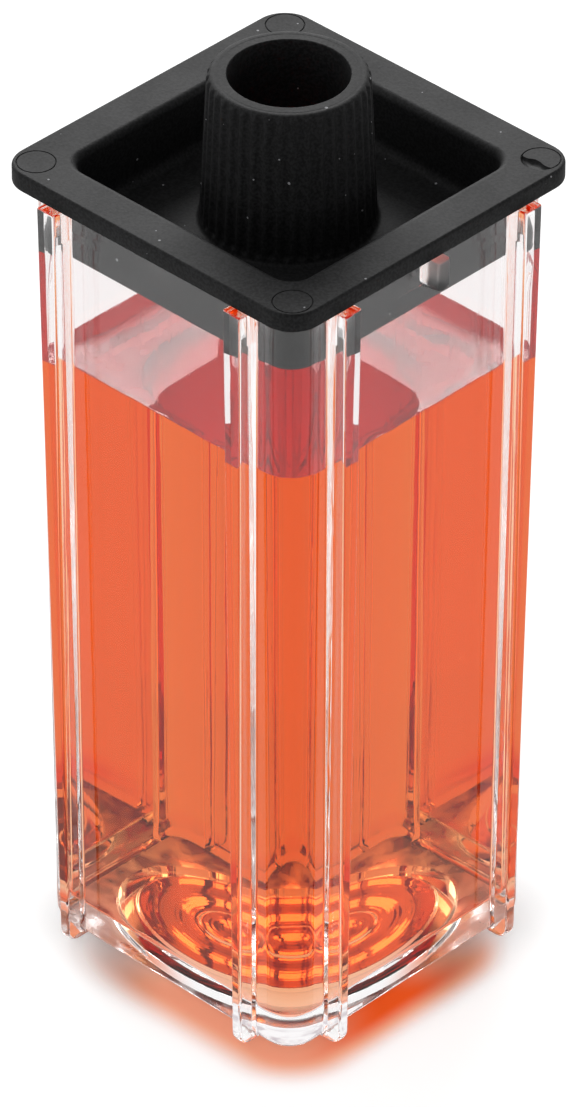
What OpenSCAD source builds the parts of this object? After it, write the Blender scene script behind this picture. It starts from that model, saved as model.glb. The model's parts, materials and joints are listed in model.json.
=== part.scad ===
// Square ribbed cuvette with a fluted filling lid and a coloured sample.
// Millimetres, +Z up, origin on the surface it stands on, under the middle.
// +X is the wall with the small orientation boss.

/* [Body] */
// Width across opposite rib faces at the rim
rib_span = 12.5; // [12.1:0.05:13.5]
// Height of the body from its feet to its rim
body_h = 26.8; // [22:0.2:40]
// Width across opposite plain walls at the rim
wall_span = 11.08; // [10.8:0.02:11.4]
// Thickness of the four walls
wall_t = 0.46; // [0.4:0.02:0.6]
// Height of the inside floor above the feet
floor_h = 0.95; // [0.8:0.05:1.6]
// Radius of the upright outside corners at the rim
corner_r = 1.3; // [1.1:0.05:1.6]
// How far each outside face leans in between rim and feet
lean = 0.3; // [0.1:0.02:0.36]
// Radius of the rounded outside edge of the base
base_edge_r = 0.4; // [0.1:0.05:0.4]
// Radius of the fillet around the inside floor
floor_fillet_r = 0.35; // [0.1:0.05:0.45]

/* [Ribs and boss] */
// Distance from the middle of a wall to the outer side of a rib at the rim
rib_reach = 4.13; // [3.9:0.01:4.2]
// Width of one rib at the rim
rib_w = 0.73; // [0.5:0.01:0.8]
// Width of one rib at its foot
rib_foot_w = 0.36; // [0.3:0.02:0.5]
// Radius of the rounded outer end of each rib foot
foot_r = 0.6; // [0.3:0.05:0.65]
// Width of the orientation boss
boss_w = 0.5; // [0.4:0.05:1.2]
// Height of the orientation boss below the rim
boss_h = 1.05; // [0.8:0.05:3]

/* [Underside] */
// Radius of the round recess under the base
recess_r = 4.25; // [3.8:0.05:4.5]
// Depth of the round recess
recess_d = 0.3; // [0.1:0.05:0.4]
// Radius of the deeper middle of the recess
disc_r = 3.5; // [2:0.1:3.6]
// Extra depth of the middle of the recess
disc_d = 0.12; // [0.05:0.01:0.15]
// Radius of the gate dimple
gate_r = 1.2; // [0.8:0.1:1.5]
// Extra depth of the gate dimple
gate_d = 0.08; // [0.04:0.01:0.1]

/* [Lid flange and well] */
// Gap between a flange edge and the rib faces
flange_inset = 0.27; // [0.1:0.02:0.5]
// Thickness of the flange
flange_t = 0.6; // [0.5:0.02:1]
// Radius of the upright flange corners
flange_corner_r = 1; // [0.9:0.05:1.6]
// Radius along the top edge of the flange
flange_edge_r = 0.2; // [0.1:0.05:0.3]
// Thickness of the wall around the well, which plugs the body
plug_t = 0.5; // [0.4:0.05:0.6]
// Gap between the plug and the inside of the body at the rim
plug_gap = 0.05; // [0.03:0.01:0.1]
// Depth that the plug goes into the body
plug_depth = 2.1; // [1.9:0.05:2.4]
// Depth of the well below the top of the flange
well_depth = 2; // [1.6:0.05:2.1]
// Thickness of the floor of the well
well_floor_t = 0.4; // [0.35:0.05:0.6]
// Width of the raised square in the middle of the well
pad_span = 5.9; // [5.4:0.1:6.4]
// Height of the raised square
pad_h = 0.06; // [0.04:0.01:0.12]
// Distance from the flange's edges to the middle of each round mark
mark_inset = 0.8; // [0.7:0.02:0.9]
// Radius of the round marks on the flange corners
mark_r = 0.58; // [0.4:0.02:0.6]
// Depth of the round marks
mark_d = 0.04; // [0.02:0.01:0.1]

/* [Chimney] */
// Diameter of the filling hole
bore_d = 3.6; // [3:0.05:4]
// Outside diameter of the chimney at its mouth
mouth_d = 4.78; // [4.6:0.02:5]
// Outside diameter of the chimney at the top of the flange
root_d = 5.05; // [5:0.05:5.6]
// Height of the mouth above the top of the flange
chimney_h = 3; // [2:0.05:5]
// Radius of the rounded edges of the mouth
lip_r = 0.2; // [0.1:0.05:0.2]

/* [Sample] */
// Depth of the sample's surface below the rim of the body
fill_drop = 5.86; // [5:0.02:15]

/* [Hidden] */
$fn = 64;
rib_half = rib_span / 2;
wall_half = wall_span / 2;
corner_c = wall_half - corner_r;
inside_half = wall_half - wall_t;
rib_mid = rib_reach - rib_w / 2;
rib_foot_mid = rib_reach - lean - rib_foot_w / 2;
face_lean = lean / body_h;
flange_half = rib_half - flange_inset;
rim_z = body_h + flange_t;
well_z = rim_z - well_depth;
plug_half = inside_half - plug_gap;
plug_corner_r = corner_r - wall_t - plug_gap;
well_corner_r = 0.8;
mouth_z = rim_z + chimney_h;
mark_c = flange_half - mark_inset;

// Disc whose lower edge is rounded.
module edged_disc(radius, edge) {
    rotate_extrude($fn = 32)
        intersection() {
            translate([radius - edge, edge])
                circle(r = edge);
            square([radius, 2 * edge]);
        }
}

// Block with rounded upright corners, faces that lean in towards its foot and a rounded foot edge.
// The corners are centred on upright lines, at corner_at from the middle.
module leaning_block(top_half, foot_half, corner_at, z_low, z_high, foot_edge) {
    thin = 0.01;
    hull()
        for (x = [-corner_at, corner_at], y = [-corner_at, corner_at]) {
            translate([x, y, z_low])
                edged_disc(foot_half - corner_at, foot_edge);
            translate([x, y, z_high - thin])
                cylinder(h = thin, r = top_half - corner_at, $fn = 32);
        }
}

module rounded_square(half, corner) {
    inner = half - corner;
    square([2 * half, 2 * inner], center = true);
    square([2 * inner, 2 * half], center = true);
    for (x = [-inner, inner], y = [-inner, inner])
        translate([x, y])
            circle(r = corner);
}

// Block with rounded upright corners and upright faces.
module upright_block(half, corner, z_low, z_high) {
    translate([0, 0, z_low])
        linear_extrude(z_high - z_low)
            rounded_square(half, corner);
}

// The outside of one rib seen along the wall it stands on.
module rib_side() {
    foot_half = rib_half - lean;
    wall_mid = wall_half - wall_t / 2;
    polygon([
        [wall_mid - lean, 0],
        [foot_half - foot_r, 0],
        [foot_half - foot_r, foot_r],
        [foot_half + face_lean * foot_r, foot_r],
        [rib_half, body_h],
        [wall_mid, body_h]
    ]);
    translate([foot_half - foot_r, foot_r])
        intersection() {
            circle(r = foot_r);
            translate([-foot_r / 2, -foot_r])
                square([foot_r * 1.5, foot_r * 1.2]);
        }
}

// The outside of one rib seen square on to the wall it stands on.
module rib_front() {
    polygon([
        [rib_foot_mid - rib_foot_w / 2, 0],
        [rib_foot_mid + rib_foot_w / 2, 0],
        [rib_mid + rib_w / 2, body_h],
        [rib_mid - rib_w / 2, body_h]
    ]);
}

module rib() {
    intersection() {
        translate([0, corner_c + 1, 0])
            rotate([90, 0, 0])
                linear_extrude(corner_c + 1)
                    rib_side();
        rotate([90, 0, 90])
            linear_extrude(rib_half + 1)
                rib_front();
    }
}

module boss() {
    boss_in = wall_half - wall_t / 2;
    translate([boss_in, 0, body_h])
        rotate([90, 0, 90])
            linear_extrude(rib_half - boss_in - face_lean * boss_h)
                union() {
                    translate([-boss_w / 2, boss_w / 2 - boss_h])
                        square([boss_w, boss_h - boss_w / 2]);
                    translate([0, boss_w / 2 - boss_h])
                        circle(d = boss_w);
                }
}

module cavity(z_high) {
    slope = face_lean * (body_h - floor_h);
    drop = face_lean * (body_h - z_high);
    leaning_block(inside_half - drop, inside_half - slope, corner_c, floor_h, z_high, floor_fillet_r);
}

module cuvette_body() {
    color([0.93, 0.93, 0.94, 0.35])
        difference() {
            union() {
                leaning_block(wall_half, wall_half - lean, corner_c, 0, body_h, base_edge_r);
                for (turn = [0, 90, 180, 270])
                    rotate([0, 0, turn]) {
                        rib();
                        mirror([0, 1, 0])
                            rib();
                    }
                boss();
            }
            cavity(body_h);
            translate([0, 0, -recess_d])
                cylinder(h = 2 * recess_d, r = recess_r);
            cylinder(h = recess_d + disc_d, r = disc_r);
            cylinder(h = recess_d + disc_d + gate_d, r = gate_r);
        }
}

// Half outline of the flange, from its middle out to its rounded top edge.
module flange_edge() {
    reach = flange_corner_r;
    square([reach, flange_t - flange_edge_r]);
    square([reach - flange_edge_r, flange_t]);
    translate([reach - flange_edge_r, flange_t - flange_edge_r])
        circle(r = flange_edge_r);
}

module flange() {
    corner_at = flange_half - flange_corner_r;
    translate([-corner_at, -corner_at, body_h])
        cube([2 * corner_at, 2 * corner_at, flange_t]);
    for (turn = [0, 90, 180, 270])
        rotate([0, 0, turn]) {
            translate([corner_at, corner_at, body_h])
                rotate([90, 0, 0])
                    linear_extrude(2 * corner_at)
                        flange_edge();
            translate([corner_at, corner_at, body_h])
                rotate_extrude(angle = 90)
                    flange_edge();
        }
}

module chimney_outline() {
    bore_r = bore_d / 2;
    mouth_r = mouth_d / 2;
    slope = (root_d - mouth_d) / 2 / chimney_h;
    root_r = mouth_r + slope * (mouth_z - well_z + well_floor_t / 2);
    difference() {
        polygon([
            [bore_r, well_z - well_floor_t],
            [root_r, well_z - well_floor_t],
            [root_r, well_z - well_floor_t / 2],
            [mouth_r + slope * lip_r, mouth_z - lip_r],
            [mouth_r + slope * lip_r, mouth_z],
            [bore_r, mouth_z]
        ]);
        difference() {
            translate([mouth_r - lip_r, mouth_z - lip_r])
                square(lip_r * 2);
            translate([mouth_r + slope * lip_r - lip_r, mouth_z - lip_r])
                circle(r = lip_r);
        }
        difference() {
            translate([bore_r - lip_r, mouth_z - lip_r])
                square(lip_r * 2);
            translate([bore_r + lip_r, mouth_z - lip_r])
                circle(r = lip_r);
        }
    }
}

module lid() {
    well_half = plug_half - plug_t;
    color([0.1, 0.1, 0.1])
        difference() {
            union() {
                difference() {
                    union() {
                        flange();
                        upright_block(plug_half, plug_corner_r, body_h - plug_depth, body_h + 0.01);
                    }
                    upright_block(well_half, well_corner_r, well_z, rim_z + 1);
                    upright_block(well_half, well_corner_r, body_h - plug_depth - 1, well_z - well_floor_t);
                    for (turn = [0, 90, 180, 270])
                        rotate([0, 0, turn])
                            translate([mark_c, mark_c, rim_z - mark_d])
                                cylinder(h = 1, r = mark_r);
                }
                translate([-pad_span / 2, -pad_span / 2, well_z - well_floor_t / 2])
                    cube([pad_span, pad_span, well_floor_t / 2 + pad_h]);
                rotate_extrude()
                    chimney_outline();
            }
            translate([0, 0, well_z - well_floor_t - 1])
                cylinder(h = mouth_z - lip_r - well_z + well_floor_t + 1, d = bore_d);
        }
}

module sample_liquid() {
    color([0.93, 0.36, 0.18, 0.8])
        intersection() {
            cavity(body_h);
            translate([-wall_half, -wall_half, 0])
                cube([wall_span, wall_span, body_h - fill_drop]);
        }
}

cuvette_body();
lid();
sample_liquid();
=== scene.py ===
import json
import math
import bpy
import bmesh
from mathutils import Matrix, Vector, noise


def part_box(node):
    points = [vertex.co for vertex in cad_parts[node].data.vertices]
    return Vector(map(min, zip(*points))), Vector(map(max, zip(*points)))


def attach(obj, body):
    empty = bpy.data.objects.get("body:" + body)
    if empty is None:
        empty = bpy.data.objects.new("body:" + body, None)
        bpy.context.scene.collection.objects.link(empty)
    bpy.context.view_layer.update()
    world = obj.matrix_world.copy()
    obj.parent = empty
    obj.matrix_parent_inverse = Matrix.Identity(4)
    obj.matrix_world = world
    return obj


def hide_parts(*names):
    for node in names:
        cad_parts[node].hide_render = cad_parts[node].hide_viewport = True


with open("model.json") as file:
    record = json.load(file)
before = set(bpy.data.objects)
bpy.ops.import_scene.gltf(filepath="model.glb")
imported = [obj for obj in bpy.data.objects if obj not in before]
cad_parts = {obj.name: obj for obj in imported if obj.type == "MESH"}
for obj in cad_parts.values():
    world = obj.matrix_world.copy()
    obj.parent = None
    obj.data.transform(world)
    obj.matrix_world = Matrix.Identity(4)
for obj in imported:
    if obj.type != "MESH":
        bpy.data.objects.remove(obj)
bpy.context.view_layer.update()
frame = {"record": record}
mm = 0.001


def boxInMm(node):
    low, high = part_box(node)
    return [v / mm for v in low], [v / mm for v in high]


bodyHigh = boxInMm("cuvette_body")[1]
lidLow, lidHigh = boxInMm("lid")
sampleLow, sampleHigh = boxInMm("sample_liquid")
boreRadius = next(m["dims"]["r_mm"] for m in frame["record"]["mounts"] if m["name"] == "filling_hole")
print("frame loaded, rim at", round(bodyHigh[2], 3), "mouth at", round(lidHigh[2], 3))


# rings of points, joined one after another into a skin
def addRing(mesh, points, z):
    height = z if callable(z) else lambda x, y: z
    return [mesh.verts.new((x * mm, y * mm, height(x, y) * mm)) for x, y in points]


def joinRings(mesh, rings, slot=0, smooth=True):
    for low, high in zip(rings, rings[1:]):
        for k in range(len(low)):
            n = (k + 1) % len(low)
            face = mesh.faces.new((low[k], low[n], high[n], high[k]))
            face.smooth = smooth
            face.material_index = slot


def closePole(mesh, ring, z, slot=0):
    middle = mesh.verts.new((0, 0, z * mm))
    for k in range(len(ring)):
        face = mesh.faces.new((ring[k], ring[(k + 1) % len(ring)], middle))
        face.smooth = True
        face.material_index = slot


def zipRings(mesh, inner, outer):
    # triangles between two rings of unlike points, taken in the order in which they run round the axis
    def turn(ring, k):
        laps, place = divmod(k, len(ring))
        return math.atan2(ring[place].co.y, ring[place].co.x) % math.tau + laps * math.tau

    faces = []
    i = j = 0
    while i < len(inner) or j < len(outer):
        corners = [inner[i % len(inner)], outer[j % len(outer)]]
        if j == len(outer) or (i < len(inner) and turn(inner, i + 1) < turn(outer, j + 1)):
            i += 1
            corners.append(inner[i % len(inner)])
        else:
            j += 1
            corners.append(outer[j % len(outer)])
        faces.append(mesh.faces.new(corners))
    return faces


def addPiece(mesh, name, materials):
    bmesh.ops.recalc_face_normals(mesh, faces=mesh.faces)
    data = bpy.data.meshes.new(name)
    mesh.to_mesh(data)
    mesh.free()
    for material in materials:
        data.materials.append(material)
    piece = bpy.data.objects.new(name, data)
    bpy.context.scene.collection.objects.link(piece)
    return piece


def settle(piece):
    # the modifiers' result becomes the piece's plain mesh
    graph = bpy.context.evaluated_depsgraph_get()
    graph.update()
    data = bpy.data.meshes.new_from_object(piece.evaluated_get(graph))
    piece.modifiers.clear()
    piece.data = data


def weighNormals(piece):
    # flat faces keep flat shading and the narrow roundings blend into them
    weigh = piece.modifiers.new("flatFaces", "WEIGHTED_NORMAL")
    weigh.mode = "FACE_AREA"
    weigh.weight = 100
    weigh.keep_sharp = False


def turned(points, quarters):
    for _ in range(quarters):
        points = [(-y, x) for x, y in points]
    return points


def roundedCorner(centre, radius, start, end, steps):
    # points of a rounding as (reach, height), with angles in degrees
    points = []
    for i in range(steps + 1):
        a = math.radians(start + (end - start) * i / steps)
        points.append((centre[0] + radius * math.cos(a), centre[1] + radius * math.sin(a)))
    return points


def edgeInset(radius, depth):
    # how far a rounded edge stands back, at this distance from its tip
    depth = min(max(depth, 0.0), radius)
    return radius - math.sqrt(radius ** 2 - (radius - depth) ** 2)


# short ways to place nodes
def setInput(tree, socket, value):
    if isinstance(value, (int, float, tuple)):
        socket.default_value = value
    else:
        tree.links.new(value, socket)


def addMath(tree, operation, *values):
    node = tree.nodes.new("ShaderNodeMath")
    node.operation = operation
    for socket, value in zip(node.inputs, values):
        setInput(tree, socket, value)
    return node.outputs[0]


def fadeBetween(tree, value, span, low=0.0, high=1.0):
    node = tree.nodes.new("ShaderNodeMapRange")
    node.interpolation_type = "SMOOTHSTEP"
    names = ("Value", "From Min", "From Max", "To Min", "To Max")
    for name, amount in zip(names, (value, *span, low, high)):
        setInput(tree, node.inputs[name], amount)
    return node.outputs["Result"]


def mixColours(tree, factor, first, second, blend="MIX"):
    node = tree.nodes.new("ShaderNodeMix")
    node.data_type = "RGBA"
    node.blend_type = blend
    for name, value in (("Factor", factor), ("A", first), ("B", second)):
        setInput(tree, node.inputs[name], value)
    return node.outputs["Result"]


def objectPlace(tree):
    return tree.nodes.new("ShaderNodeTexCoord").outputs["Object"]


def mappedPlace(tree, change, values):
    node = tree.nodes.new("ShaderNodeMapping")
    tree.links.new(objectPlace(tree), node.inputs["Vector"])
    node.inputs[change].default_value = values
    return node.outputs[0]


def splitAxes(tree, place):
    node = tree.nodes.new("ShaderNodeSeparateXYZ")
    tree.links.new(place, node.inputs[0])
    return node.outputs


def addNoise(tree, place, scale, detail=2.0):
    node = tree.nodes.new("ShaderNodeTexNoise")
    for name, value in (("Vector", place), ("Scale", scale), ("Detail", detail)):
        setInput(tree, node.inputs[name], value)
    return node.outputs[0]


# the effects that several finishes share, each a group with named inputs and one output
def newGroup(name, inputs, output):
    tree = bpy.data.node_groups.new(name, "ShaderNodeTree")
    for socketName in inputs:
        tree.interface.new_socket(socketName, in_out="INPUT", socket_type="NodeSocketFloat")
    tree.interface.new_socket(output, in_out="OUTPUT", socket_type="NodeSocketFloat")
    return tree, tree.nodes.new("NodeGroupInput").outputs, tree.nodes.new("NodeGroupOutput").inputs


def placeGroup(tree, group, look):
    # each input takes the value of its own name, so Wave Scale takes waveScale
    node = tree.nodes.new("ShaderNodeGroup")
    node.node_tree = group
    for socket in node.inputs:
        socket.default_value = look[socket.name[0].lower() + socket.name[1:].replace(" ", "")]
    return node.outputs[0]


markShape = {
    "waveTurn": (0.5, 0.6, 0.4), "waveDetail": 1.0, "lineStretch": (1, 1, 0.02), "lineFade": (0.6, 0.7),
}


def makeFlowMarks():
    # slow waves of the moulded faces and fine upright drag lines, as a height in metres
    names = ("Wave Scale", "Wave Depth", "Line Scale", "Line Depth")
    tree, given, result = newGroup("flowMarks", names, "Height")
    turnedPlace = mappedPlace(tree, "Rotation", markShape["waveTurn"])
    waves = addNoise(tree, turnedPlace, given["Wave Scale"], markShape["waveDetail"])
    stretched = mappedPlace(tree, "Scale", markShape["lineStretch"])
    lines = fadeBetween(tree, addNoise(tree, stretched, given["Line Scale"]), markShape["lineFade"])
    waveHeight = addMath(tree, "MULTIPLY", waves, given["Wave Depth"])
    lineHeight = addMath(tree, "MULTIPLY", lines, given["Line Depth"])
    tree.links.new(addMath(tree, "ADD", waveHeight, lineHeight), result["Height"])
    return tree


def makeSpecks():
    # scattered round specks: dust on the lid, tiny bubbles in the clear walls
    tree, given, result = newGroup("tinySpecks", ("Speck Scale", "Speck Size", "Speck Share"), "Mask")
    cells = tree.nodes.new("ShaderNodeTexVoronoi")
    tree.links.new(objectPlace(tree), cells.inputs["Vector"])
    tree.links.new(given["Speck Scale"], cells.inputs["Scale"])
    pick = tree.nodes.new("ShaderNodeSeparateColor")
    tree.links.new(cells.outputs["Color"], pick.inputs[0])
    chosen = addMath(tree, "LESS_THAN", pick.outputs[0], given["Speck Share"])
    reach = addMath(tree, "MULTIPLY", pick.outputs[1], given["Speck Size"])
    near = addMath(tree, "LESS_THAN", cells.outputs["Distance"], reach)
    tree.links.new(addMath(tree, "MULTIPLY", chosen, near), result["Mask"])
    return tree


def makePatches():
    # soft drifting patches, from 0 at Patch Low to 1 at Patch High
    tree, given, result = newGroup("driftingPatches", ("Patch Scale", "Patch Low", "Patch High"), "Mask")
    drift = addNoise(tree, objectPlace(tree), given["Patch Scale"])
    mask = fadeBetween(tree, drift, (given["Patch Low"], given["Patch High"]))
    tree.links.new(mask, result["Mask"])
    return tree


def makeMattFaces():
    # the face it stands on is ground matt, less so in patches, and the boss has a dull skin
    names = ("Sole Height", "Sole Scale", "Sole Smooth", "Sole Rough", "Boss Reach", "Boss Side", "Boss Rough")
    tree, given, result = newGroup("mattFaces", names, "Roughness")
    place = objectPlace(tree)
    x, y, z = splitAxes(tree, place)
    sole = addMath(tree, "LESS_THAN", z, given["Sole Height"])
    grain = addNoise(tree, place, given["Sole Scale"])
    ground = fadeBetween(tree, grain, clearLook["soleFade"], given["Sole Smooth"], given["Sole Rough"])
    boss = addMath(tree, "GREATER_THAN", x, given["Boss Reach"])
    middle = addMath(tree, "LESS_THAN", addMath(tree, "ABSOLUTE", y), given["Boss Side"])
    dull = addMath(tree, "MULTIPLY", addMath(tree, "MULTIPLY", boss, middle), given["Boss Rough"])
    tree.links.new(addMath(tree, "MAXIMUM", addMath(tree, "MULTIPLY", sole, ground), dull), result["Roughness"])
    return tree


def newMaterial(name):
    material = bpy.data.materials.new(name)
    material.use_nodes = True
    return material, material.node_tree, material.node_tree.nodes["Principled BSDF"]


def addMarks(tree, shader, look):
    bump = tree.nodes.new("ShaderNodeBump")
    bump.inputs["Distance"].default_value = 1.0
    tree.links.new(placeGroup(tree, flowMarks, look), bump.inputs["Height"])
    tree.links.new(bump.outputs[0], shader.inputs["Normal"])


clearLook = {
    "ior": 1.49, "wetIor": 1.12, "seatedIor": 1.03,
    "waveScale": 420.0, "waveDepth": 0.000006, "lineScale": 4200.0, "lineDepth": 0.0000006,
    "speckScale": 900.0, "speckSize": 0.06, "speckShare": 0.1, "speckRoughness": 0.5,
    "soleHeight": 0.00002, "soleScale": 900.0, "soleFade": (0.4, 0.6), "soleSmooth": 0.25, "soleRough": 0.65,
    "bossReach": 0.00558, "bossSide": 0.0004, "bossRough": 0.45,
    # drifting patches of painted grey shade on the seated sole, and its clear and grey colours
    "patchScale": 2200.0, "patchLow": 0.36, "patchHigh": 0.54,
    "seatThin": (0.5, 0.42, 0.46, 1), "seatTight": (1.0, 0.97, 0.98, 1),
}
flowMarks = makeFlowMarks()
tinySpecks = makeSpecks()
driftingPatches = makePatches()
mattFaces = makeMattFaces()


def makeClear(name, ior):
    material, tree, shader = newMaterial(name)
    shader.inputs["Base Color"].default_value = (1, 1, 1, 1)
    shader.inputs["Transmission Weight"].default_value = 1.0
    shader.inputs["IOR"].default_value = ior
    specks = placeGroup(tree, tinySpecks, clearLook)
    rough = addMath(tree, "MULTIPLY", specks, clearLook["speckRoughness"])
    matt = placeGroup(tree, mattFaces, clearLook)
    tree.links.new(addMath(tree, "MAXIMUM", rough, matt), shader.inputs["Roughness"])
    addMarks(tree, shader, clearLook)
    return material


clearPlastic = makeClear("clearPlastic", clearLook["ior"])
wetPlastic = makeClear("wetPlastic", clearLook["wetIor"])


def makeSeated():
    # where it sits tight the floor shows through, with painted grey shade laid over it in drifting patches
    material = makeClear("seatedPlastic", clearLook["seatedIor"])
    tree = material.node_tree
    unshadedShare = placeGroup(tree, driftingPatches, clearLook)
    colour = mixColours(tree, unshadedShare, clearLook["seatThin"], clearLook["seatTight"])
    tree.links.new(colour, tree.nodes["Principled BSDF"].inputs["Base Color"])
    return material


seatedPlastic = makeSeated()

liquidLook = {
    "ior": 1.33, "skin": (1.0, 0.66, 0.44, 1), "tint": (0.95, 0.57, 0.17, 1), "strength": 300.0,
    "deepSkin": (0.98, 0.52, 0.38, 1), "settled": (0.0011, 0.0016),
}


def makeLiquid(name, ior):
    # the dye takes most of what it takes in the first layer, which the skin colour stands for, and the colour
    # is a deeper orange near the floor
    look = liquidLook
    material, tree, shader = newMaterial(name)
    height = splitAxes(tree, objectPlace(tree))["Z"]
    skin = mixColours(tree, fadeBetween(tree, height, look["settled"]), look["deepSkin"], look["skin"])
    tree.links.new(skin, shader.inputs["Base Color"])
    shader.inputs["Transmission Weight"].default_value = 1.0
    shader.inputs["Roughness"].default_value = 0.0
    shader.inputs["IOR"].default_value = ior
    soak = tree.nodes.new("ShaderNodeVolumeAbsorption")
    soak.inputs["Color"].default_value = look["tint"]
    soak.inputs["Density"].default_value = look["strength"]
    tree.links.new(soak.outputs["Volume"], tree.nodes["Material Output"].inputs["Volume"])
    return material


liquidSurface = makeLiquid("liquidSurface", liquidLook["ior"])
liquidSides = makeLiquid("liquidSides", 1.0)

lidLook = {
    "colour": (0.008, 0.008, 0.0083, 1), "dust": (0.4, 0.4, 0.42, 1), "specular": 0.2,
    "waveScale": 9000.0, "waveDepth": 0.000004, "lineScale": 6000.0, "lineDepth": 0.0000015,
    "speckScale": 1800.0, "speckSize": 0.09, "speckShare": 0.8,
    "mottle": {"patchScale": 11000.0, "patchLow": 0.35, "patchHigh": 0.65},
    "mottleColour": (0.021, 0.021, 0.022, 1),
    "sheen": {"patchScale": 500.0, "patchLow": 0.3, "patchHigh": 0.7}, "smoothest": 0.58, "roughest": 0.62,
}


def makeLidPlastic():
    look = lidLook
    material, tree, shader = newMaterial("blackPlastic")
    shader.inputs["Specular IOR Level"].default_value = look["specular"]
    mottle = placeGroup(tree, driftingPatches, look["mottle"])
    colour = mixColours(tree, mottle, look["colour"], look["mottleColour"])
    dusty = mixColours(tree, placeGroup(tree, tinySpecks, look), colour, look["dust"])
    tree.links.new(dusty, shader.inputs["Base Color"])
    # the matt skin is smoother and rougher in drifting patches
    sheen = placeGroup(tree, driftingPatches, look["sheen"])
    rough = addMath(tree, "MULTIPLY_ADD", sheen, look["roughest"] - look["smoothest"], look["smoothest"])
    tree.links.new(rough, shader.inputs["Roughness"])
    addMarks(tree, shader, look)
    return material


blackPlastic = makeLidPlastic()
print("finishes made")

bodyShape = {
    "height": bodyHigh[2], "ribHalf": bodyHigh[0], "ribProud": 0.71, "wallThick": 0.46, "cornerRadius": 1.3,
    "lean": 0.3, "ribReach": 4.13, "ribWidth": 0.73, "ribFootWidth": 0.36, "footRadius": 0.6,
    "ribEdge": 0.09, "ribRoot": 0.05, "rootWidth": 0.048, "sideGap": 0.002, "sideRound": 0.088,
    "edgeShare": 0.45, "rimEdge": 0.05, "baseEdge": 0.42, "baseShare": 0.3, "seatReach": 6.8, "seatBlend": 0.3,
    "bossHalf": 0.25, "bossHeight": 1.05, "bossEdge": 0.08, "bossTip": 0.1,
    "bossStart": 0.16, "bossStep": 0.02, "midReach": 1.9, "ribStart": 3.3, "flatEnd": 0.05,
    "levels": (5, 10, 15, 20, 24), "underBoss": (0.06, 0.005), "wetStep": 0.15, "dryStep": 0.25,
    "floorHeight": sampleLow[2], "floorFillet": 0.35, "floorCorner": 0.12, "floorCircles": (4.0, 3.0, 1.5, 0.6),
    "liquidLevel": sampleHigh[2],
    "recess": ((4.31, 0.0), (4.27, 0.03), (4.25, 0.08), (4.25, 0.24), (4.21, 0.3), (3.58, 0.3), (3.52, 0.33),
               (3.47, 0.4), (3.42, 0.42)),
    "gateRadius": 1.2, "gateEdge": 0.12, "gateHeight": 0.5, "turningPitch": 0.22, "turningDepth": 0.001,
    "sinkPitch": 1.45, "sinkDepth": 0.012, "unevenPitch": 0.7, "unevenDepth": 0.006, "recessSteps": 72,
}
bumpPoints = 16  # points across a rib or the boss
arcSteps = 14  # steps round an upright corner
wetSlot = 1  # second finish of the shell and of the sample, where they meet
seatedSlot = 2  # third finish of the shell, where its sole sits tight


def standingBump(base, top, start, end, edge, root):
    # cross-section of a rib or boss that stands on a wall, from one side to the other
    s = bodyShape
    room = max(0.0, (top - base) * s["edgeShare"])
    edge = min(edge, room)
    root = min(root, room)
    width, gap = s["rootWidth"], s["sideGap"]
    side = min(s["sideRound"], (end - start) / 2 - 2 * gap)
    angles = [math.pi / 2 * i / (bumpPoints // 4 - 1) for i in range(bumpPoints // 4)]
    points = [(base + root * (1 - math.cos(a)), start - gap - width + width * math.sin(a)) for a in angles]
    points += [(top - edge + edge * math.sin(a), start + gap + side * (1 - math.cos(a))) for a in angles]
    return points + [(x, start + end - y) for x, y in reversed(points)]


def bossSection(z, wall, rib):
    # the boss has a round lower end and stands from there up to the rim
    s = bodyShape
    rise = z - (s["height"] - s["bossHeight"])
    half = s["bossHalf"]
    if rise < 0:
        return standingBump(wall, wall, -half, half, 0, 0)
    half = max(s["bossTip"], math.sqrt(half ** 2 - (half - min(rise, half)) ** 2))
    return standingBump(wall, rib - edgeInset(s["bossEdge"], rise), -half, half, s["bossEdge"], s["ribRoot"])


def outerQuarter(z, leftBoss, rightBoss):
    # from the middle of one wall round the corner to the middle of the next
    s = bodyShape
    t = 1 - z / s["height"]
    wallTop = s["ribHalf"] - s["ribProud"]
    wall = wallTop - s["lean"] * t
    rib = s["ribHalf"] - s["lean"] * t
    outer = s["ribReach"] - s["lean"] * t
    inner = outer - s["ribWidth"] - (s["ribFootWidth"] - s["ribWidth"]) * t
    rimInset = edgeInset(s["rimEdge"], s["height"] - z)
    baseInset = edgeInset(s["baseEdge"], z)
    wall -= rimInset + baseInset
    rib -= rimInset + edgeInset(s["footRadius"], z)
    outer -= rimInset + baseInset * s["baseShare"]
    inner += rimInset + baseInset * s["baseShare"]
    plain = standingBump(wall, wall, -s["bossHalf"], s["bossHalf"], 0, 0)
    boss = bossSection(z, wall, rib)
    ribPoints = standingBump(wall, rib, inner, outer, s["ribEdge"], s["ribRoot"])
    centre = wallTop - s["cornerRadius"]
    arc = roundedCorner((centre, centre), wall - centre, 0, 90, arcSteps)
    half = bumpPoints // 2
    ring = (boss if leftBoss else plain)[half:] + [(wall, s["midReach"])] + ribPoints + arc
    ring += [(y, x) for x, y in reversed(ribPoints)] + [(s["midReach"], wall)]
    return ring + [(y, x) for x, y in reversed((boss if rightBoss else plain)[half:])]


def outerRing(z):
    # the boss stands in the middle of the +X wall, so the first and last quarters carry its halves
    ring = []
    for q in range(4):
        ring += turned(outerQuarter(z, q == 0, q == 3), q)
    return ring


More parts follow.
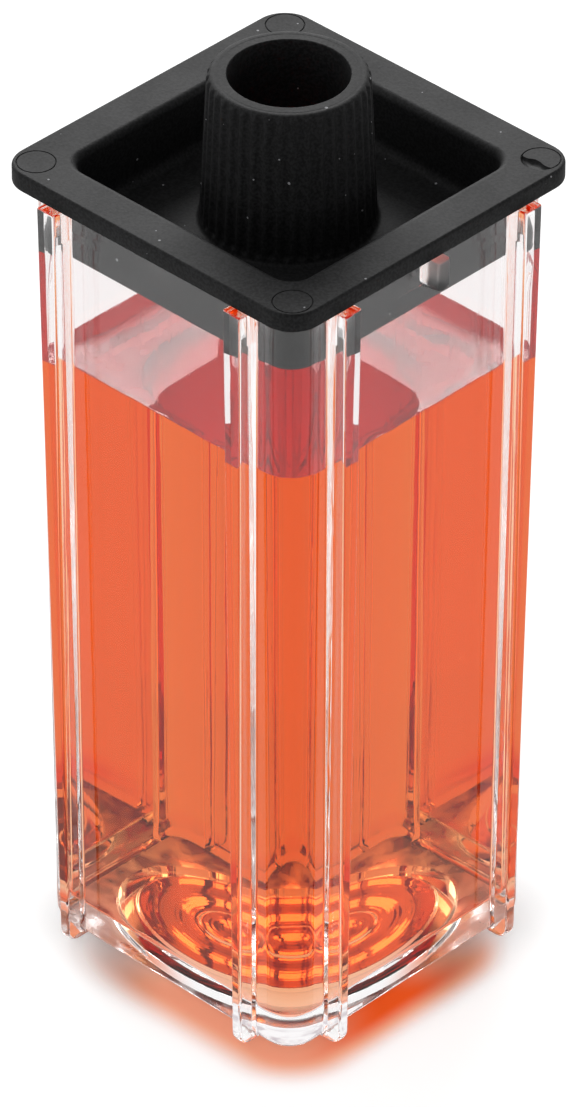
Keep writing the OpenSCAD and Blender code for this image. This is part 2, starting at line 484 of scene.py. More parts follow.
def innerRing(half, radius, even=1.0):
    # rounded square whose points lie opposite the outer ring's at even 0 and evenly along the wall at 1
    s = bodyShape
    centre = half - radius
    reach = centre - s["flatEnd"]
    ribWay = reach - s["ribStart"]
    opposite = [s["bossStart"] + s["bossStep"] * i for i in range(bumpPoints // 2)] + [s["midReach"]]
    opposite += [s["ribStart"] + ribWay * i / (bumpPoints - 1) for i in range(bumpPoints)]
    count = len(opposite)
    points = [(half, y + (reach * (i + 0.5) / (count - 0.5) - y) * even) for i, y in enumerate(opposite)]
    points += roundedCorner((centre, centre), radius, 0, 90, arcSteps)
    points += [(y, x) for x, y in reversed(points[:count])]
    ring = []
    for q in range(4):
        ring += turned(points, q)
    return ring


def circleRing(radius, count):
    angles = [math.tau * i / count for i in range(count)]
    return [(radius * math.cos(a), radius * math.sin(a)) for a in angles]


def blendRing(first, second, t):
    return [(a[0] + (b[0] - a[0]) * t, a[1] + (b[1] - a[1]) * t) for a, b in zip(first, second)]


def insideSize(z):
    s = bodyShape
    wallTop = s["ribHalf"] - s["ribProud"]
    half = wallTop - s["wallThick"] - s["lean"] * (1 - z / s["height"])
    return half, half - (wallTop - s["cornerRadius"])


sampleShape = {
    "gap": 0.003, "rise": 0.05, "reach": 0.5, "ripple": 0.03, "rippleReach": 0.12, "ripplePitch": 0.7,
    "fineShare": 0.5, "finePitch": 3.1, "middleInset": 2.0, "middleBlends": (0.0, 0.35, 0.7, 1.0),
    "insets": (0.03, 0.07, 0.12, 0.2, 0.3, 0.45, 0.65, 0.9, 1.2, 1.6), "circles": (2.4, 1.6, 0.8),
}


def liquidTop(x, y):
    # level in the middle, drawn up a little at the walls, with a slightly ragged edge
    m = sampleShape
    half, radius = insideSize(bodyShape["liquidLevel"])
    toX = max(0.0, half - abs(x))
    toY = max(0.0, half - abs(y))
    corner = math.hypot(max(0.0, abs(x) - half + radius), max(0.0, abs(y) - half + radius))
    toWall = min(toX, toY, max(0.0, radius - corner))
    rise = m["rise"] * (math.exp(-toX / m["reach"]) + math.exp(-toY / m["reach"]))
    along = Vector((x, y, 0)) / m["ripplePitch"]
    ragged = noise.noise(along) + m["fineShare"] * noise.noise(along * m["finePitch"])
    return bodyShape["liquidLevel"] + rise + m["ripple"] * ragged * math.exp(-toWall / m["rippleReach"])


def cavityRings(mesh, gap):
    # from the liquid's edge down the inside wall, round the floor edge and in to the middle
    s = bodyShape
    top = s["liquidLevel"]
    half, radius = insideSize(top)
    rings = [addRing(mesh, innerRing(half - gap, radius - gap), liquidTop)]
    floorTop = s["floorHeight"] + s["floorFillet"]
    for z in [top - s["wetStep"]] + [top + (floorTop - top) * i / 10 for i in range(1, 11)]:
        half, radius = insideSize(z)
        rings.append(addRing(mesh, innerRing(half - gap, radius - gap), z))
    half, radius = insideSize(floorTop)
    fillet = s["floorFillet"]
    for reach, z in roundedCorner((half - fillet, floorTop), fillet - gap, 0, -90, 8)[1:]:
        rings.append(addRing(mesh, innerRing(reach, max(s["floorCorner"], radius - (half - reach))), z))
    edge = innerRing(half - fillet, max(s["floorCorner"], radius - fillet))
    floor = s["floorHeight"] + gap
    circles = [circleRing(reach, len(edge)) for reach in s["floorCircles"]]
    for ring in [blendRing(edge, circles[0], 0.5)] + circles:
        rings.append(addRing(mesh, ring, floor))
    return rings


def underside(x, y):
    # the recess has a gate dimple, shallow sink waves, faint turning rings and a slightly uneven face
    s = bodyShape
    reach = math.hypot(x, y)
    base = s["recess"][-1][1]
    dimple = 1 - max(0.0, min(1.0, (reach - s["gateRadius"] + s["gateEdge"]) / s["gateEdge"]))
    z = base + (s["gateHeight"] - base) * dimple ** 2 * (3 - 2 * dimple)
    edge = max(0.0, 1 - (reach / s["recess"][-1][0]) ** 6)  # the waves fade out near its steps
    z += edge * s["sinkDepth"] * math.cos(math.tau * reach / s["sinkPitch"])
    z += edge * s["turningDepth"] * math.sin(math.tau * reach / s["turningPitch"])
    return z + edge * s["unevenDepth"] * noise.noise(Vector((x, y, 0)) / s["unevenPitch"])


def undersideRings(mesh, count):
    s = bodyShape
    rings = []
    steps = s["recessSteps"]
    for i in range(1, steps + 1):
        rings.append(addRing(mesh, circleRing(s["recess"][-1][0] * i / steps, count), underside))
    for reach, z in reversed(s["recess"][:-1]):
        rings.append(addRing(mesh, circleRing(reach, count), z))
    return rings


def closeSole(mesh, inner, outer):
    # each rib foot is closed across, and one corner of the sole sits tight on the floor
    firstRib = bumpPoints // 2 + 1
    ribStarts = (firstRib, firstRib + bumpPoints + arcSteps + 1)
    faces = []
    plain = []
    for k, vert in enumerate(outer):
        place = k % (len(outer) // 4)
        if place in ribStarts:
            rib = outer[k:k + bumpPoints]
            for i in range(bumpPoints // 2 - 1):
                faces.append(mesh.faces.new((rib[i], rib[i + 1], rib[-2 - i], rib[-1 - i])))
        if not any(start < place < start + bumpPoints - 1 for start in ribStarts):
            plain.append(vert)
    for face in faces + zipRings(mesh, inner, plain):
        face.smooth = True
        middle = face.calc_center_median() / mm
        if middle.x - middle.y > bodyShape["seatReach"]:
            face.material_index = seatedSlot


def makeBody():
    s = bodyShape
    mesh = bmesh.new()
    recess = undersideRings(mesh, len(outerRing(0)))
    wall = s["ribHalf"] - s["ribProud"] - s["lean"] - s["baseEdge"]
    edge = innerRing(wall, wall - (s["ribHalf"] - s["ribProud"] - s["cornerRadius"]))
    recess.append(addRing(mesh, blendRing(circleRing(s["recess"][0][0], len(edge)), edge, s["seatBlend"]), 0))
    joinRings(mesh, recess)
    closePole(mesh, recess[0], underside(0, 0))
    rings = []
    heights = [s["baseEdge"] * (1 - math.cos(math.pi / 2 * i / 7)) for i in range(8)]
    heights += [s["footRadius"] * (1 - math.cos(math.pi / 2 * i / 8)) for i in range(5, 9)]
    bossLow = s["height"] - s["bossHeight"]
    heights += [*s["levels"], *(bossLow - gap for gap in s["underBoss"])]
    heights += [bossLow + s["bossHalf"] * (1 - math.cos(math.pi / 2 * i / 8)) for i in range(9)]
    heights += [s["height"] - s["rimEdge"] * (1 - math.sin(math.pi / 2 * i / 4)) for i in range(5)]
    for z in sorted(set(round(h, 5) for h in heights)):
        rings.append(addRing(mesh, outerRing(z), z))
    # over the rim and down the dry inside to the liquid's edge
    for i in range(5):
        a = math.pi / 2 * i / 4
        z = s["height"] - s["rimEdge"] * (1 - math.cos(a))
        half, radius = insideSize(z)
        grow = s["rimEdge"] * (1 - math.sin(a))
        rings.append(addRing(mesh, innerRing(half + grow, radius + grow, 0.0), z))
    low = s["liquidLevel"] + s["dryStep"]
    high = s["height"] - s["rimEdge"]
    for i in range(1, 6):
        z = high + (low - high) * i / 5
        half, radius = insideSize(z)
        rings.append(addRing(mesh, innerRing(half, radius, i / 5), z))
    wet = cavityRings(mesh, 0.0)
    joinRings(mesh, rings + wet[:1])
    closeSole(mesh, recess[-1], rings[0])
    joinRings(mesh, wet, wetSlot)
    closePole(mesh, wet[-1], s["floorHeight"], wetSlot)
    return addPiece(mesh, "cuvetteShell", [clearPlastic, wetPlastic, seatedPlastic])


shell = makeBody()
weighNormals(shell)
settle(shell)
print("shell built,", len(shell.data.polygons), "faces")


def makeSample():
    # the sides lie a hair inside the cavity, and the top is open to the air
    s, m = bodyShape, sampleShape
    gap = m["gap"]
    mesh = bmesh.new()
    sides = cavityRings(mesh, gap)
    joinRings(mesh, sides, wetSlot)
    closePole(mesh, sides[-1], s["floorHeight"] + gap, wetSlot)
    half, radius = insideSize(s["liquidLevel"])
    surface = [innerRing(half - gap - inset, max(s["floorCorner"], radius - inset)) for inset in m["insets"]]
    edge = innerRing(half - gap - m["middleInset"], s["floorCorner"])
    circles = [circleRing(reach, len(edge)) for reach in m["circles"]]
    surface += [blendRing(edge, circles[0], t) for t in m["middleBlends"]] + circles[1:]
    rings = [sides[0]] + [addRing(mesh, ring, liquidTop) for ring in surface]
    joinRings(mesh, rings)
    closePole(mesh, rings[-1], liquidTop(0, 0))
    return addPiece(mesh, "orangeSample", [liquidSurface, liquidSides])


sample = makeSample()
print("sample built,", len(sample.data.polygons), "faces")

lidShape = {
    "flangeHalf": lidHigh[0], "flangeCorner": 1.0, "flangeThick": 0.6, "flangeEdge": 0.1, "lowEdge": 0.06,
    "wellHalf": 4.53, "wellDepth": 2.0, "wellCorner": 0.66, "wellEdge": 0.25, "leastCorner": 0.2,
    "floorThick": 0.4, "floorFillet": 0.35, "padHalf": 2.95, "padRise": 0.05, "padCorner": 0.12,
    "padEdge": ((-0.02, 0.05), (0, 0.038), (0.015, 0.01), (0.04, 0)),
    "plugHalf": 5.03, "plugCorner": 0.79, "plugBottom": lidLow[2], "plugRoot": 0.02, "plugEdge": 0.15,
    "plugTaper": 0.05, "plugInside": 0.05, "underHalf": 3.0, "underCorner": 0.4,
    "boreRadius": boreRadius, "boreFoot": 0.05, "boreStep": 2.5, "boreEdge": 0.04,
    "mouthRadius": 2.39, "rootRadius": 2.525, "mouthHeight": lidHigh[2], "chimneyRise": 3.0, "shoulder": 0.22,
    "footFillet": 0.12, "lineReach": 2.1, "lineWidth": 0.015, "lineDepth": 0.02,
    "flutes": 38, "stepsPerFlute": 12, "fluteShare": 0.76, "fluteDepth": 0.09, "fluteEnd": 0.2,
    "fluteStep": 0.05, "markReach": 5.18, "markRadius": 0.58, "markWidth": 0.022, "markDepth": 0.05,
    "markSide": 0.4, "cutAbove": 0.1,
}


def squareRing(half, radius, count):
    # rounded square with as many points as the round rings have
    arc = count // 16
    side = count // 8 - arc
    centre = half - radius
    points = [(half, centre * i / side) for i in range(side)]
    points += roundedCorner((centre, centre), radius, 0, 45, arc)[:-1]
    corner = centre + radius * math.cos(math.pi / 4)
    points += [(corner, corner)] + [(y, x) for x, y in reversed(points[1:])]
    ring = []
    for q in range(4):
        ring += turned(points, q)
    return ring


def chimneyRadius(z):
    l = lidShape
    return l["mouthRadius"] + (l["rootRadius"] - l["mouthRadius"]) * (l["mouthHeight"] - z) / l["chimneyRise"]


def makeFluteTree():
    # an upright strip of the chimney is hollowed into one flute, which is repeated all round
    tree = bpy.data.node_groups.new("chimneyFlutes", "GeometryNodeTree")
    sockets = tree.interface
    sockets.new_socket("Geometry", in_out="INPUT", socket_type="NodeSocketGeometry")
    sockets.new_socket("Flutes", in_out="INPUT", socket_type="NodeSocketInt")
    sizes = ("Flute Share", "Flute Depth", "Foot Height", "End Length", "Mouth Height", "Mouth Radius", "Slope")
    for name in sizes:
        sockets.new_socket(name, in_out="INPUT", socket_type="NodeSocketFloat")
    sockets.new_socket("Material", in_out="INPUT", socket_type="NodeSocketMaterial")
    sockets.new_socket("Geometry", in_out="OUTPUT", socket_type="NodeSocketGeometry")
    nodes, links = tree.nodes, tree.links
    given = nodes.new("NodeGroupInput").outputs
    x, y, z = splitAxes(tree, nodes.new("GeometryNodeInputPosition").outputs[0])
    # across is 0 in the middle of the flute and 1 at its side,
    # and down grows as the flute fades out at its foot
    turn = addMath(tree, "ARCTAN2", y, x)
    across = addMath(tree, "MULTIPLY", addMath(tree, "ABSOLUTE", turn), given["Flutes"])
    across = addMath(tree, "DIVIDE", addMath(tree, "DIVIDE", across, math.pi), given["Flute Share"])
    footEnd = addMath(tree, "ADD", given["Foot Height"], given["End Length"])
    down = addMath(tree, "DIVIDE", addMath(tree, "SUBTRACT", footEnd, z), given["End Length"])
    down = addMath(tree, "POWER", addMath(tree, "MAXIMUM", down, 0.0), 2.0)
    spare = addMath(tree, "SUBTRACT", 1.0, addMath(tree, "POWER", across, 2.0))
    spare = addMath(tree, "SUBTRACT", spare, down)
    hollow = addMath(tree, "MULTIPLY", addMath(tree, "MAXIMUM", spare, 0.0), given["Flute Depth"])
    # the flute's bottom follows the cone and runs out through the rounded shoulder
    drop = addMath(tree, "MULTIPLY", addMath(tree, "SUBTRACT", given["Mouth Height"], z), given["Slope"])
    bottom = addMath(tree, "SUBTRACT", addMath(tree, "ADD", given["Mouth Radius"], drop), hollow)
    square = addMath(tree, "ADD", addMath(tree, "POWER", x, 2.0), addMath(tree, "POWER", y, 2.0))
    inward = addMath(tree, "MINIMUM", addMath(tree, "SUBTRACT", bottom, addMath(tree, "SQRT", square)), 0.0)
    offset = nodes.new("ShaderNodeCombineXYZ")
    links.new(addMath(tree, "MULTIPLY", inward, addMath(tree, "COSINE", turn)), offset.inputs[0])
    links.new(addMath(tree, "MULTIPLY", inward, addMath(tree, "SINE", turn)), offset.inputs[1])
    shape = nodes.new("GeometryNodeSetPosition")
    links.new(given["Geometry"], shape.inputs["Geometry"])
    links.new(offset.outputs[0], shape.inputs["Offset"])
    points = nodes.new("GeometryNodeMeshLine")
    points.inputs["Offset"].default_value = (0, 0, 0)
    links.new(given["Flutes"], points.inputs["Count"])
    angle = addMath(tree, "MULTIPLY", nodes.new("GeometryNodeInputIndex").outputs[0], math.tau)
    euler = nodes.new("ShaderNodeCombineXYZ")
    links.new(addMath(tree, "DIVIDE", angle, given["Flutes"]), euler.inputs[2])
    rotation = nodes.new("FunctionNodeEulerToRotation")
    links.new(euler.outputs[0], rotation.inputs[0])
    repeat = nodes.new("GeometryNodeInstanceOnPoints")
    links.new(points.outputs["Mesh"], repeat.inputs["Points"])
    links.new(shape.outputs["Geometry"], repeat.inputs["Instance"])
    links.new(rotation.outputs[0], repeat.inputs["Rotation"])
    real = nodes.new("GeometryNodeRealizeInstances")
    links.new(repeat.outputs["Instances"], real.inputs["Geometry"])
    finish = nodes.new("GeometryNodeSetMaterial")
    links.new(real.outputs["Geometry"], finish.inputs["Geometry"])
    links.new(given["Material"], finish.inputs["Material"])
    links.new(finish.outputs["Geometry"], nodes.new("NodeGroupOutput").inputs["Geometry"])
    return tree


def makeFlutes(foot):
    # a plain strip one flute wide, from the mouth's edge to the chimney's foot, run through the flute tree
    l = lidShape
    mouth = l["mouthHeight"]
    shoulder = l["shoulder"]
    top = mouth - shoulder
    profile = roundedCorner((chimneyRadius(top) - shoulder, top), shoulder, 90, 0, 12)
    footHigh = foot + l["fluteEnd"] + l["fluteStep"]
    heights = [top + (footHigh - top) * i / 10 for i in range(1, 11)]
    heights += [footHigh + (foot - footHigh) * i / 8 for i in range(1, 9)]
    profile += [(chimneyRadius(z), z) for z in heights]
    steps = l["stepsPerFlute"]
    mesh = bmesh.new()
    rows = []
    for reach, z in profile:
        angles = [math.tau / l["flutes"] * (i / steps - 0.5) for i in range(steps + 1)]
        rows.append(addRing(mesh, [(reach * math.cos(a), reach * math.sin(a)) for a in angles], z))
    for low, high in zip(rows, rows[1:]):
        for i in range(steps):
            mesh.faces.new((low[i], high[i], high[i + 1], low[i + 1])).smooth = True
    strip = addPiece(mesh, "fluteStrip", [blackPlastic])
    modifier = strip.modifiers.new("flutes", "NODES")
    modifier.node_group = makeFluteTree()
    values = {
        "Flutes": l["flutes"], "Flute Share": l["fluteShare"], "Flute Depth": l["fluteDepth"] * mm,
        "Foot Height": foot * mm, "End Length": l["fluteEnd"] * mm, "Mouth Height": mouth * mm,
        "Mouth Radius": l["mouthRadius"] * mm, "Material": blackPlastic,
        "Slope": (l["rootRadius"] - l["mouthRadius"]) / l["chimneyRise"],
    }
    for item in modifier.node_group.interface.items_tree:
        if item.in_out == "INPUT" and item.name in values:
            modifier[item.identifier] = values[item.name]
    settle(strip)
    data = strip.data
    bpy.data.objects.remove(strip)
    return data


def makeLid():
    l = lidShape
    count = l["flutes"] * l["stepsPerFlute"]
    low = bodyShape["height"]
    rim = low + l["flangeThick"]
    well = rim - l["wellDepth"]
    under = well - l["floorThick"]
    mouth = l["mouthHeight"]
    bottom = l["plugBottom"]
    mesh = bmesh.new()
    rings = []

    def square(half, radius, z):
        rings.append(addRing(mesh, squareRing(half, radius, count), z))

    def around(radius, z):
        rings.append(addRing(mesh, circleRing(radius, count), z))

    # from the chimney's foot out over the low pad, the well floor and up the well wall
    fillet = l["footFillet"]
    foot = well + l["padRise"] + fillet
    around(chimneyRadius(foot), foot)
    for reach, z in roundedCorner((chimneyRadius(foot) + fillet, foot), fillet, 180, 270, 4)[1:]:
        around(reach, z)
    for grow, rise in l["padEdge"]:
        square(l["padHalf"] + grow, l["padCorner"] + grow, well + rise)
    fillet = l["floorFillet"]
    for reach, z in roundedCorner((l["wellHalf"] - fillet, well + fillet), fillet, 270, 360, 6):
        square(reach, max(l["leastCorner"], l["wellCorner"] - (l["wellHalf"] - reach)), z)
    edge = l["wellEdge"]
    for reach, z in roundedCorner((l["wellHalf"] + edge, rim - edge), edge, 180, 90, 7):
        square(reach, l["wellCorner"] + (reach - l["wellHalf"]), z)
    # over the flange to its lower edge, then the underside and the plug
    out, edge = l["flangeEdge"], l["lowEdge"]
    outline = roundedCorner((l["flangeHalf"] - out, rim - out), out, 90, 0, 5)
    for reach, z in outline + roundedCorner((l["flangeHalf"] - edge, low + edge), edge, 0, -90, 3):
        square(reach, l["flangeCorner"] - (l["flangeHalf"] - reach), z)
    root, edge = l["plugRoot"], l["plugEdge"]
    square(l["plugHalf"] + root, l["plugCorner"] + root, low)
    square(l["plugHalf"], l["plugCorner"], low - root)
    for reach, z in roundedCorner((l["plugHalf"] - l["plugTaper"] - edge, bottom + edge), edge, 0, -90, 4):
        square(reach, l["plugCorner"] - (l["plugHalf"] - reach), z)
    edge = l["plugInside"]
    square(l["wellHalf"] + edge, l["wellCorner"], bottom)
    square(l["wellHalf"], l["wellCorner"] - edge, bottom + edge)
    square(l["wellHalf"], l["wellCorner"] - edge, under)
    square(l["underHalf"], l["underCorner"], under)
    # up the bore and over the mouth, with a fine line near the mouth's outer edge
    around(l["boreRadius"] + l["boreFoot"], under)
    around(l["boreRadius"], under + l["boreFoot"])
    around(l["boreRadius"], under + l["boreStep"])
    lip = l["boreEdge"]
    for reach, z in roundedCorner((l["boreRadius"] + lip, mouth - lip), lip, 180, 90, 4):
        around(reach, z)
    for aside, depth in ((-1, 0), (0, l["lineDepth"]), (1, 0)):
        around(l["lineReach"] + aside * l["lineWidth"], mouth - depth)
    around(chimneyRadius(mouth - l["shoulder"]) - l["shoulder"], mouth)
    joinRings(mesh, rings)
    mesh.from_mesh(makeFlutes(foot))
    bmesh.ops.remove_doubles(mesh, verts=mesh.verts, dist=0.0005 * mm)
    return addPiece(mesh, "blackLid", [blackPlastic])


def ringCutter(x, y):
    # thin ring that leaves the round outline of a mark in the flange
    l = lidShape
    rim = bodyShape["height"] + l["flangeThick"]
    high, low, side = l["cutAbove"], -l["markDepth"], -l["markDepth"] * l["markSide"]
    mesh = bmesh.new()
    loops = []
    for aside, z in ((-1, high), (1, high), (1, side), (0, low), (-1, side)):
        circle = circleRing(l["markRadius"] + aside * l["markWidth"], 72)
        loops.append(addRing(mesh, [(x + px, y + py) for px, py in circle], rim + z))
    joinRings(mesh, loops + loops[:1], 0, False)
    return addPiece(mesh, "markCutter", [])


chipShape = {
    "ahead": (0.1, -1.0), "aside": (1.0, 0.1), "halfAngle": 72, "arcSteps": 18, "tornSteps": 12,
    "tear": 0.05, "tearPitch": 0.75, "ragged": 0.03, "raggedPitch": 0.6, "depth": 0.03, "slope": 0.12,
}


def chipCutter(x, y):
    # part of one mark has lifted and left a crescent with a torn edge
    l, c = lidShape, chipShape
    rim = bodyShape["height"] + l["flangeThick"]
    ahead = Vector(c["ahead"]).normalized()
    aside = Vector(c["aside"]).normalized()
    outline = []
    for i in range(c["arcSteps"] + 1):
        a = math.radians(c["halfAngle"] * (2 * i / c["arcSteps"] - 1))
        outline.append((ahead * math.cos(a) + aside * math.sin(a)) * l["markRadius"])
    first, last = outline[0], outline[-1]
    for i in range(1, c["tornSteps"]):
        wave = c["tear"] * math.sin(i * c["tearPitch"])
        wave += c["ragged"] * noise.noise(Vector((i * c["raggedPitch"], 0, 3)))
        outline.append(last.lerp(first, i / c["tornSteps"]) + ahead * wave)

    def slope(px, py):
        return rim - c["depth"] - c["slope"] * max(0, (px - x) * ahead.x + (py - y) * ahead.y)

    points = [(x + p.x, y + p.y) for p in outline]
    mesh = bmesh.new()
    low = addRing(mesh, points, slope)
    high = addRing(mesh, points, rim + l["cutAbove"])
    joinRings(mesh, [low, high], 0, False)
    mesh.faces.new(low)
    mesh.faces.new(high)
    return addPiece(mesh, "chipCutter", [])


def levelNormals(data):
    # the level faces keep upright normals right up to their marks and roundings
    rim = (bodyShape["height"] + lidShape["flangeThick"]) * mm
    levels = (rim, lidShape["mouthHeight"] * mm)
    normals = [corner.vector.copy() for corner in data.corner_normals]
    for face in data.polygons:
        for i in face.loop_indices:
            z = data.vertices[data.loops[i].vertex_index].co.z
            if face.use_smooth and min(abs(z - level) for level in levels) < 0.001 * mm:
                normals[i] = Vector((0, 0, 1))
    data.normals_split_custom_set(normals)


def cutMarks(piece):
    reach = lidShape["markReach"]
    cutters = [ringCutter(x * reach, y * reach) for x in (-1, 1) for y in (-1, 1)]
    cutters.append(chipCutter(reach, reach))
    for cutter in cutters:
        cut = piece.modifiers.new("mark", "BOOLEAN")
        cut.operation = "DIFFERENCE"
        cut.object = cutter
    weighNormals(piece)
    settle(piece)
    for cutter in cutters:
        bpy.data.objects.remove(cutter)
    levelNormals(piece.data)


lid = makeLid()
cutMarks(lid)
print("lid built,", len(lid.data.polygons), "faces")

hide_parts("cuvette_body")
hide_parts("sample_liquid")
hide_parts("lid")
for piece in (shell, sample, lid):
    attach(piece, "root")

# the floor: its colour and even white lift, a painted orange glow in front, a painted shadow round the body and
# painted shade under it that shows through the plastic
floorLook = {
    "colour": (0.55, 0.55, 0.55, 1), "size": 1.0, "drop": 0.03, "footCorner": 1.0,
    "tintMiddle": (0.6, (1.0, 0.46, 0.3, 1)), "tintFull": (1.0, 0.12, 0.02, 1), "tintLeft": 0.68,
    "tintFrom": (-0.0105, -0.006), "tintRise": (0.0, 0.004), "tintEnd": (0.0082, 0.0098),
    "tintReach": (0.0003, 0.00175), "tintAhead": (0.0, 0.006),
    "shadow": 0.28, "shadowReach": (0.0, 0.0022),
    "deepShadow": 0.35, "deepFrom": (0.005, 0.0073), "deepEnd": (0.0076, 0.0095),
    "underColour": (0.9, 0.3, 0.16, 1), "underReach": (0.0, 0.002), "underAhead": (0.004, 0.0058),
    "underAside": (0.003, 0.006), "lift": 0.8, "mirrorLift": 0.5,
}


def makeFloor():
    look = floorLook
    size = look["size"]
    level = -look["drop"] * mm
    data = bpy.data.meshes.new("floorSheet")
    corners = [(x * size, y * size, level) for x, y in ((-1, -1), (1, -1), (1, 1), (-1, 1))]
    data.from_pydata(corners, [], [(0, 1, 2, 3)])
    material, tree, shader = newMaterial("paleFloor")
    data.materials.append(material)
    nodes, links = tree.nodes, tree.links
    shader.inputs["Roughness"].default_value = 1.0
    shader.inputs["Specular IOR Level"].default_value = 0.0
    # how far a spot lies from the rounded foot of the body, how far ahead of it and how far aside
    x, y = splitAxes(tree, objectPlace(tree))[:2]
    corner = look["footCorner"] * mm
    foot = (bodyShape["ribHalf"] - bodyShape["ribProud"] - bodyShape["lean"]) * mm - corner
    gaps = []
    for axis in (x, y):
        gap = addMath(tree, "SUBTRACT", addMath(tree, "ABSOLUTE", axis), foot)
        gaps.append(addMath(tree, "POWER", addMath(tree, "MAXIMUM", gap, 0.0), 2.0))
    apart = addMath(tree, "SUBTRACT", addMath(tree, "SQRT", addMath(tree, "ADD", *gaps)), corner)
    ahead = addMath(tree, "SUBTRACT", x, y)
    aside = addMath(tree, "ADD", x, y)
    off = addMath(tree, "ABSOLUTE", aside)

    def product(value, *fades):
        for where, span, low, high in fades:
            value = addMath(tree, "MULTIPLY", value, fadeBetween(tree, where, look[span], low, high))
        return value

    # painted glow: the floor in front is painted orange by position, in place of light passed through the
    # sample, most on the +X side
    tint = addMath(tree, "ADD", fadeBetween(tree, aside, look["tintFrom"], 0.0, look["tintLeft"]),
                   fadeBetween(tree, aside, look["tintRise"], 0.0, 1 - look["tintLeft"]))
    tint = product(tint, (aside, "tintEnd", 1.0, 0.0), (apart, "tintReach", 1.0, 0.0),
                   (ahead, "tintAhead", 0.0, 1.0))
    # the painted glow's colour runs from white through orange to orange-red and goes into both the floor's
    # colour and its emission
    paintedGlow = nodes.new("ShaderNodeValToRGB")
    links.new(tint, paintedGlow.inputs["Fac"])
    stops = paintedGlow.color_ramp.elements
    stops.new(look["tintMiddle"][0])
    for stop, colour in zip(stops, ((1, 1, 1, 1), look["tintMiddle"][1], look["tintFull"])):
        stop.color = colour
    paintedGlowBase = mixColours(tree, 1.0, look["colour"], paintedGlow.outputs["Color"], "MULTIPLY")
    links.new(paintedGlowBase, shader.inputs["Base Color"])
    links.new(paintedGlow.outputs["Color"], shader.inputs["Emission Color"])
    # painted shadow: near the body the floor's white lift is cut back by position, deepest towards the side
    # corners
    deep = product(look["deepShadow"], (off, "deepFrom", 0.0, 1.0), (off, "deepEnd", 1.0, 0.0))
    paintedShadow = product(addMath(tree, "ADD", deep, look["shadow"]), (apart, "shadowReach", 1.0, 0.0))
    clear = addMath(tree, "MULTIPLY", addMath(tree, "SUBTRACT", 1.0, paintedShadow), look["lift"])
    # seen straight, the floor is white with the painted shadow and glow over its real shading; seen through the
    # clear plastic it is plain white, with painted shade and orange light round the side corners near the body
    rays = nodes.new("ShaderNodeLightPath")
    seen = addMath(tree, "MULTIPLY", rays.outputs["Is Camera Ray"], clear)
    links.new(seen, shader.inputs["Emission Strength"])
    # painted shade and orange light on the floor near the side corners, for rays seen through the plastic
    paintedUnderShade = product(1.0, (apart, "underReach", 1.0, 0.0), (ahead, "underAhead", 1.0, 0.0),
                    (off, "underAside", 0.0, 1.0))
    plain = nodes.new("ShaderNodeEmission")
    links.new(mixColours(tree, paintedUnderShade, (1, 1, 1, 1), look["underColour"]), plain.inputs["Color"])
    pick = nodes.new("ShaderNodeMixShader")
    mirrored = addMath(tree, "MULTIPLY", rays.outputs["Is Glossy Ray"], look["mirrorLift"])
    links.new(addMath(tree, "MAXIMUM", rays.outputs["Is Transmission Ray"], mirrored), pick.inputs[0])
    links.new(shader.outputs[0], pick.inputs[1])
    links.new(plain.outputs[0], pick.inputs[2])
    links.new(pick.outputs[0], nodes["Material Output"].inputs["Surface"])
    sheet = bpy.data.objects.new("floorSheet", data)
    bpy.context.scene.collection.objects.link(sheet)


skyLook = {
    "low": 1.0, "high": 0.35, "greyFrom": (0.7, 0.85),
    # each darker part: where it starts and ends across, the heights between which it sets in, how dark it is
    "side": ((0.2, 1.1), (0.25, 0.5), 0.85), "front": ((0.3, 1.2), (0.0, 0.3), 0.75),
}


def makeWorld():
    # white round the horizon, greyer overhead, and darker to one side and in front above window height
    look = skyLook
    world = bpy.data.worlds.new("softRoom")
    bpy.context.scene.world = world
    world.use_nodes = True
    tree = world.node_tree
    x, y, z = splitAxes(tree, tree.nodes.new("ShaderNodeTexCoord").outputs["Generated"])
    sky = fadeBetween(tree, z, look["greyFrom"], look["low"], look["high"])
    for way, part in ((addMath(tree, "ADD", x, y), "side"), (addMath(tree, "SUBTRACT", x, y), "front")):
        across, heights, most = look[part]
        dark = fadeBetween(tree, z, heights, 0.0, most)
        dark = addMath(tree, "MULTIPLY", fadeBetween(tree, way, across), dark)
        sky = addMath(tree, "MULTIPLY", sky, addMath(tree, "SUBTRACT", 1.0, dark))
    tree.links.new(sky, tree.nodes["Background"].inputs["Color"])


lampLook = {
    "turn": 138, "lift": 25, "away": 3.0, "aimHeight": 0.02, "wide": 2.16, "high": 1.21, "radiance": 7.3,
    "faces": 5.5, "rest": 0.5, "softEdge": (0.4, 0.5),
}


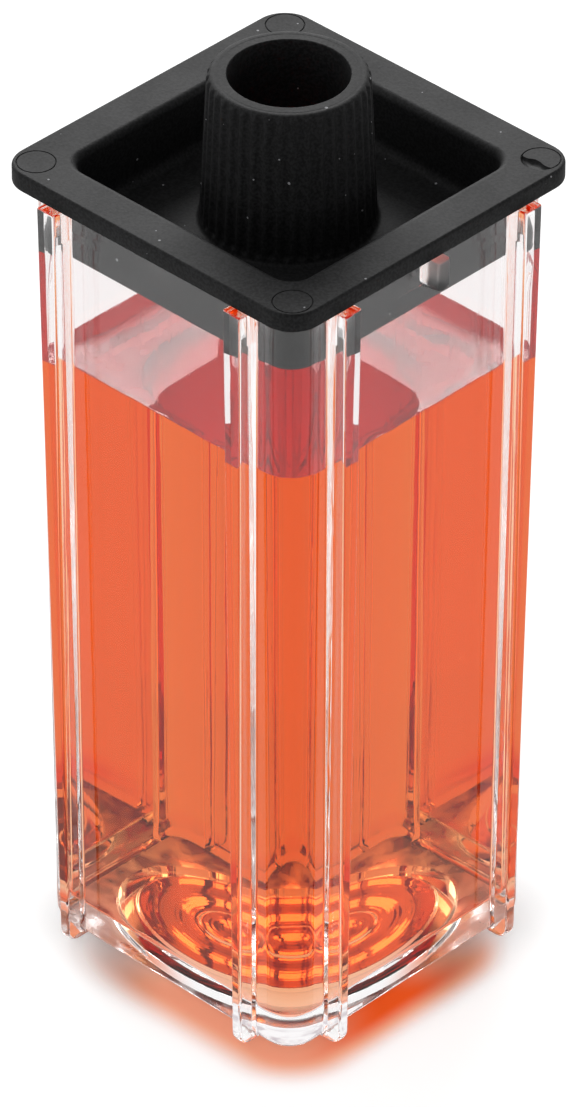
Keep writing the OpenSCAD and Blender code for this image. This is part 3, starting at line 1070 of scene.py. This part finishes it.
def makeLamp():
    look = lampLook
    turn, lift = math.radians(look["turn"]), math.radians(look["lift"])
    away = Vector((math.cos(turn) * math.cos(lift), math.sin(turn) * math.cos(lift), math.sin(lift)))
    data = bpy.data.lights.new("backSoftbox", "AREA")
    data.shape = "RECTANGLE"
    data.size = look["wide"]
    data.size_y = look["high"]
    data.energy = look["radiance"] * math.pi * data.size * data.size_y
    lamp = bpy.data.objects.new("backSoftbox", data)
    bpy.context.scene.collection.objects.link(lamp)
    lamp.location = away * look["away"] + Vector((0, 0, look["aimHeight"]))
    lamp.rotation_euler = away.to_track_quat("Z", "Y").to_euler()
    lamp.visible_camera = False
    # the lamp shows in the liquid's surface but only dimly through the many faces of the base
    data.use_nodes = True
    tree = data.node_tree
    rays = tree.nodes.new("ShaderNodeLightPath")
    few = addMath(tree, "LESS_THAN", rays.outputs["Transmission Depth"], look["faces"])
    # its upper and lower edges are soft
    across = splitAxes(tree, tree.nodes.new("ShaderNodeNewGeometry").outputs["Parametric"])["Y"]
    fromMiddle = addMath(tree, "ABSOLUTE", addMath(tree, "SUBTRACT", across, 0.5))
    soft = fadeBetween(tree, fromMiddle, look["softEdge"], 1.0, 0.0)
    strength = addMath(tree, "MULTIPLY", soft, addMath(tree, "MAXIMUM", few, look["rest"]))
    tree.links.new(strength, tree.nodes["Emission"].inputs["Strength"])


viewPoint = {
    "turn": 44.06, "lift": 35.47, "roll": -0.16, "distance": 300.0, "across": 0.042, "up": -1.477,
    "middle": 15.2, "heightSeen": 32.897, "sensor": 36.0, "near": 0.01, "far": 10.0,
}


def makeCamera():
    v = viewPoint
    turn, lift, roll = (math.radians(v[name]) for name in ("turn", "lift", "roll"))
    back = Vector((math.sin(turn) * math.cos(lift), -math.cos(turn) * math.cos(lift), math.sin(lift)))
    right = Vector((math.cos(turn), math.sin(turn), 0))
    up = back.cross(right)
    place = Vector((0, 0, v["middle"])) + right * v["across"] + up * v["up"] + back * v["distance"]
    data = bpy.data.cameras.new("viewCamera")
    camera = bpy.data.objects.new("viewCamera", data)
    bpy.context.scene.collection.objects.link(camera)
    rolledRight = right * math.cos(roll) - up * math.sin(roll)
    rolledUp = right * math.sin(roll) + up * math.cos(roll)
    matrix = camera.matrix_world.copy()
    for column, axis in enumerate((rolledRight, rolledUp, back, place * mm)):
        for row in range(3):
            matrix[row][column] = axis[row]
    camera.matrix_world = matrix
    data.sensor_fit = "VERTICAL"
    data.sensor_height = v["sensor"]
    data.lens = v["sensor"] * v["distance"] / v["heightSeen"]
    data.clip_start = v["near"]
    data.clip_end = v["far"]
    bpy.context.scene.camera = camera


makeFloor()
makeWorld()
makeLamp()
makeCamera()
scene = bpy.context.scene
scene.view_settings.view_transform = "Standard"
lightBounces = 64  # light passes many faces of clear plastic
for kind in ("max_bounces", "glossy_bounces", "transmission_bounces"):
    setattr(scene.cycles, kind, lightBounces)
print("floor, sky, lamp and camera placed")
